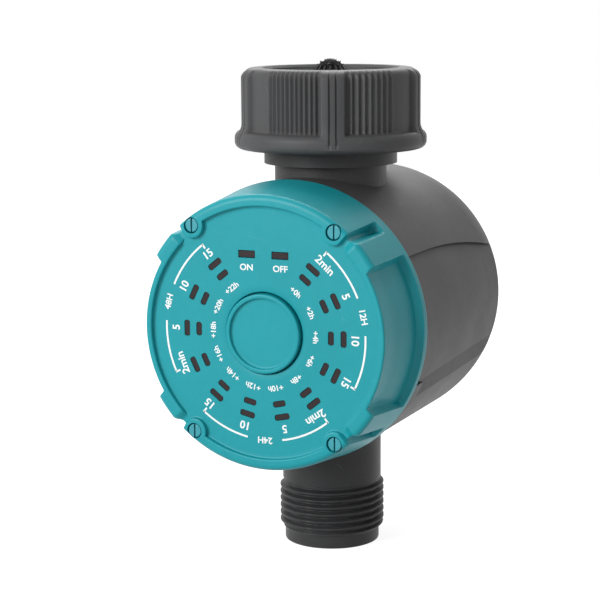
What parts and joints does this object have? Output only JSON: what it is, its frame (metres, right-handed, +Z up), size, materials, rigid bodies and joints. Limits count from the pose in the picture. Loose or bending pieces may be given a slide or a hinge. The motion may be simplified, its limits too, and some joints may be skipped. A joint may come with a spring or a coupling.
{
  "type": "drip irrigation timer",
  "caption": "Battery tap timer for drip irrigation: round push-button dial, drum housing, motor ball valve, swivel inlet nut with cone filter and male threaded outlet.",
  "frame": {"origin": "centre of the inlet nut's mouth plane, on the waterway's axis", "axes": "+Z up along the waterway towards the tap, -Y towards the user (the dial faces -Y), +X to the right as the dial is read"},
  "size_m": [0.0686, 0.0855, 0.1221],
  "materials": {
    "teal_plastic": "satin, moulded through in teal",
    "smoke_lens": "dark smoked, glossy",
    "grey_plastic": "satin, fine spark-eroded grain",
    "dark_plastic": "satin, moulded through in dark grey",
    "black_plastic": "satin black, slight sheen",
    "filter_plastic": "moulded mesh, matte",
    "seal_rubber": "matte black",
    "silicone": "milky, matte",
    "face_screw": "dark teal coating, satin",
    "zinc_steel": "bright zinc plate",
    "board": "green solder mask",
    "led": "clear resin over white",
    "component_black": "matte black epoxy",
    "capacitor_can": "bright can",
    "acetal": "natural white, waxy",
    "valve_steel": "polished stainless",
    "valve_brass": "machined",
    "motor_can": "drawn can",
    "cell_wrap": "plain printed sleeve",
    "contact_metal": "nickel plate"
  },
  "bodies": {
    "timer_body": {"front_bezel": "teal_plastic", "window_lenses": "smoke_lens", "face_screws": "face_screw", "button_spring": "silicone", "circuit_board": "board", "indicator_leds": "led", "tact_switch": "component_black", "control_chip": "component_black", "storage_capacitor": "capacitor_can", "board_screws": "zinc_steel", "bezel_gasket": "seal_rubber", "drum_housing": "grey_plastic", "valve_body": "black_plastic", "inlet_tube": "black_plastic", "neck_seal": "seal_rubber", "joint_seal": "seal_rubber", "outlet_seal": "seal_rubber", "seat_upper": "acetal", "seat_lower": "acetal", "stem_gland": "valve_brass", "stem_seal": "seal_rubber", "gearbox_case": "component_black", "gearbox_cover": "component_black", "gearbox_screws": "zinc_steel", "cover_screws": "zinc_steel", "gear_axle": "zinc_steel", "drive_motor": "motor_can", "position_switch": "component_black", "retaining_ring": "zinc_steel", "inlet_washer": "seal_rubber", "inlet_filter": "filter_plastic"},
    "inlet_nut": {"inlet_nut": "dark_plastic"},
    "start_button": {"start_button": "teal_plastic", "switch_plunger": "component_black"},
    "ball_valve": {"valve_ball": "valve_steel", "valve_stem": "valve_brass", "output_gear": "acetal", "position_cam": "acetal"},
    "reduction_gear": {"reduction_gear": "acetal"},
    "motor_rotor": {"motor_pinion": "valve_brass", "motor_shaft": "zinc_steel"},
    "battery_drawer": {"battery_cap": "grey_plastic", "cap_seal": "seal_rubber", "battery_tray": "component_black", "tray_screws": "zinc_steel", "battery_cell_upper": "cell_wrap", "battery_cell_lower": "cell_wrap", "battery_contacts": "contact_metal", "battery_springs": "contact_metal"}
  },
  "joints": [
    {"name": "nut_spin", "type": "hinge", "parent": "timer_body", "child": "inlet_nut", "pos_m": [0, 0, -0.01], "axis": [0, 0, 1], "continuous": true},
    {"name": "button_press", "type": "slide", "parent": "timer_body", "child": "start_button", "axis": [0, 1, 0], "range_m": [0, 0.0008], "stiffness_N_per_m": 1500, "deforming": ["button_spring"]},
    {"name": "valve_turn", "type": "hinge", "parent": "timer_body", "child": "ball_valve", "pos_m": [0, -0.012, -0.0598], "axis": [0, 1, 0], "range_deg": [0, 90]},
    {"name": "reduction_turn", "type": "hinge", "parent": "timer_body", "child": "reduction_gear", "pos_m": [0.01175, -0.02, -0.0598], "axis": [0, 1, 0], "range_deg": [-262.5, 0]},
    {"name": "motor_turn", "type": "hinge", "parent": "timer_body", "child": "motor_rotor", "pos_m": [0.0225, -0.017, -0.0598], "axis": [0, 1, 0], "range_deg": [0, 678.12]},
    {"name": "drawer_slide", "type": "slide", "parent": "timer_body", "child": "battery_drawer", "axis": [0, 1, 0], "range_m": [0, 0.035]}
  ],
  "couplings": [
    {"joint": "reduction_turn", "follows": "valve_turn", "ratio": -2.9167},
    {"joint": "motor_turn", "follows": "valve_turn", "ratio": 7.5347}
  ]
}
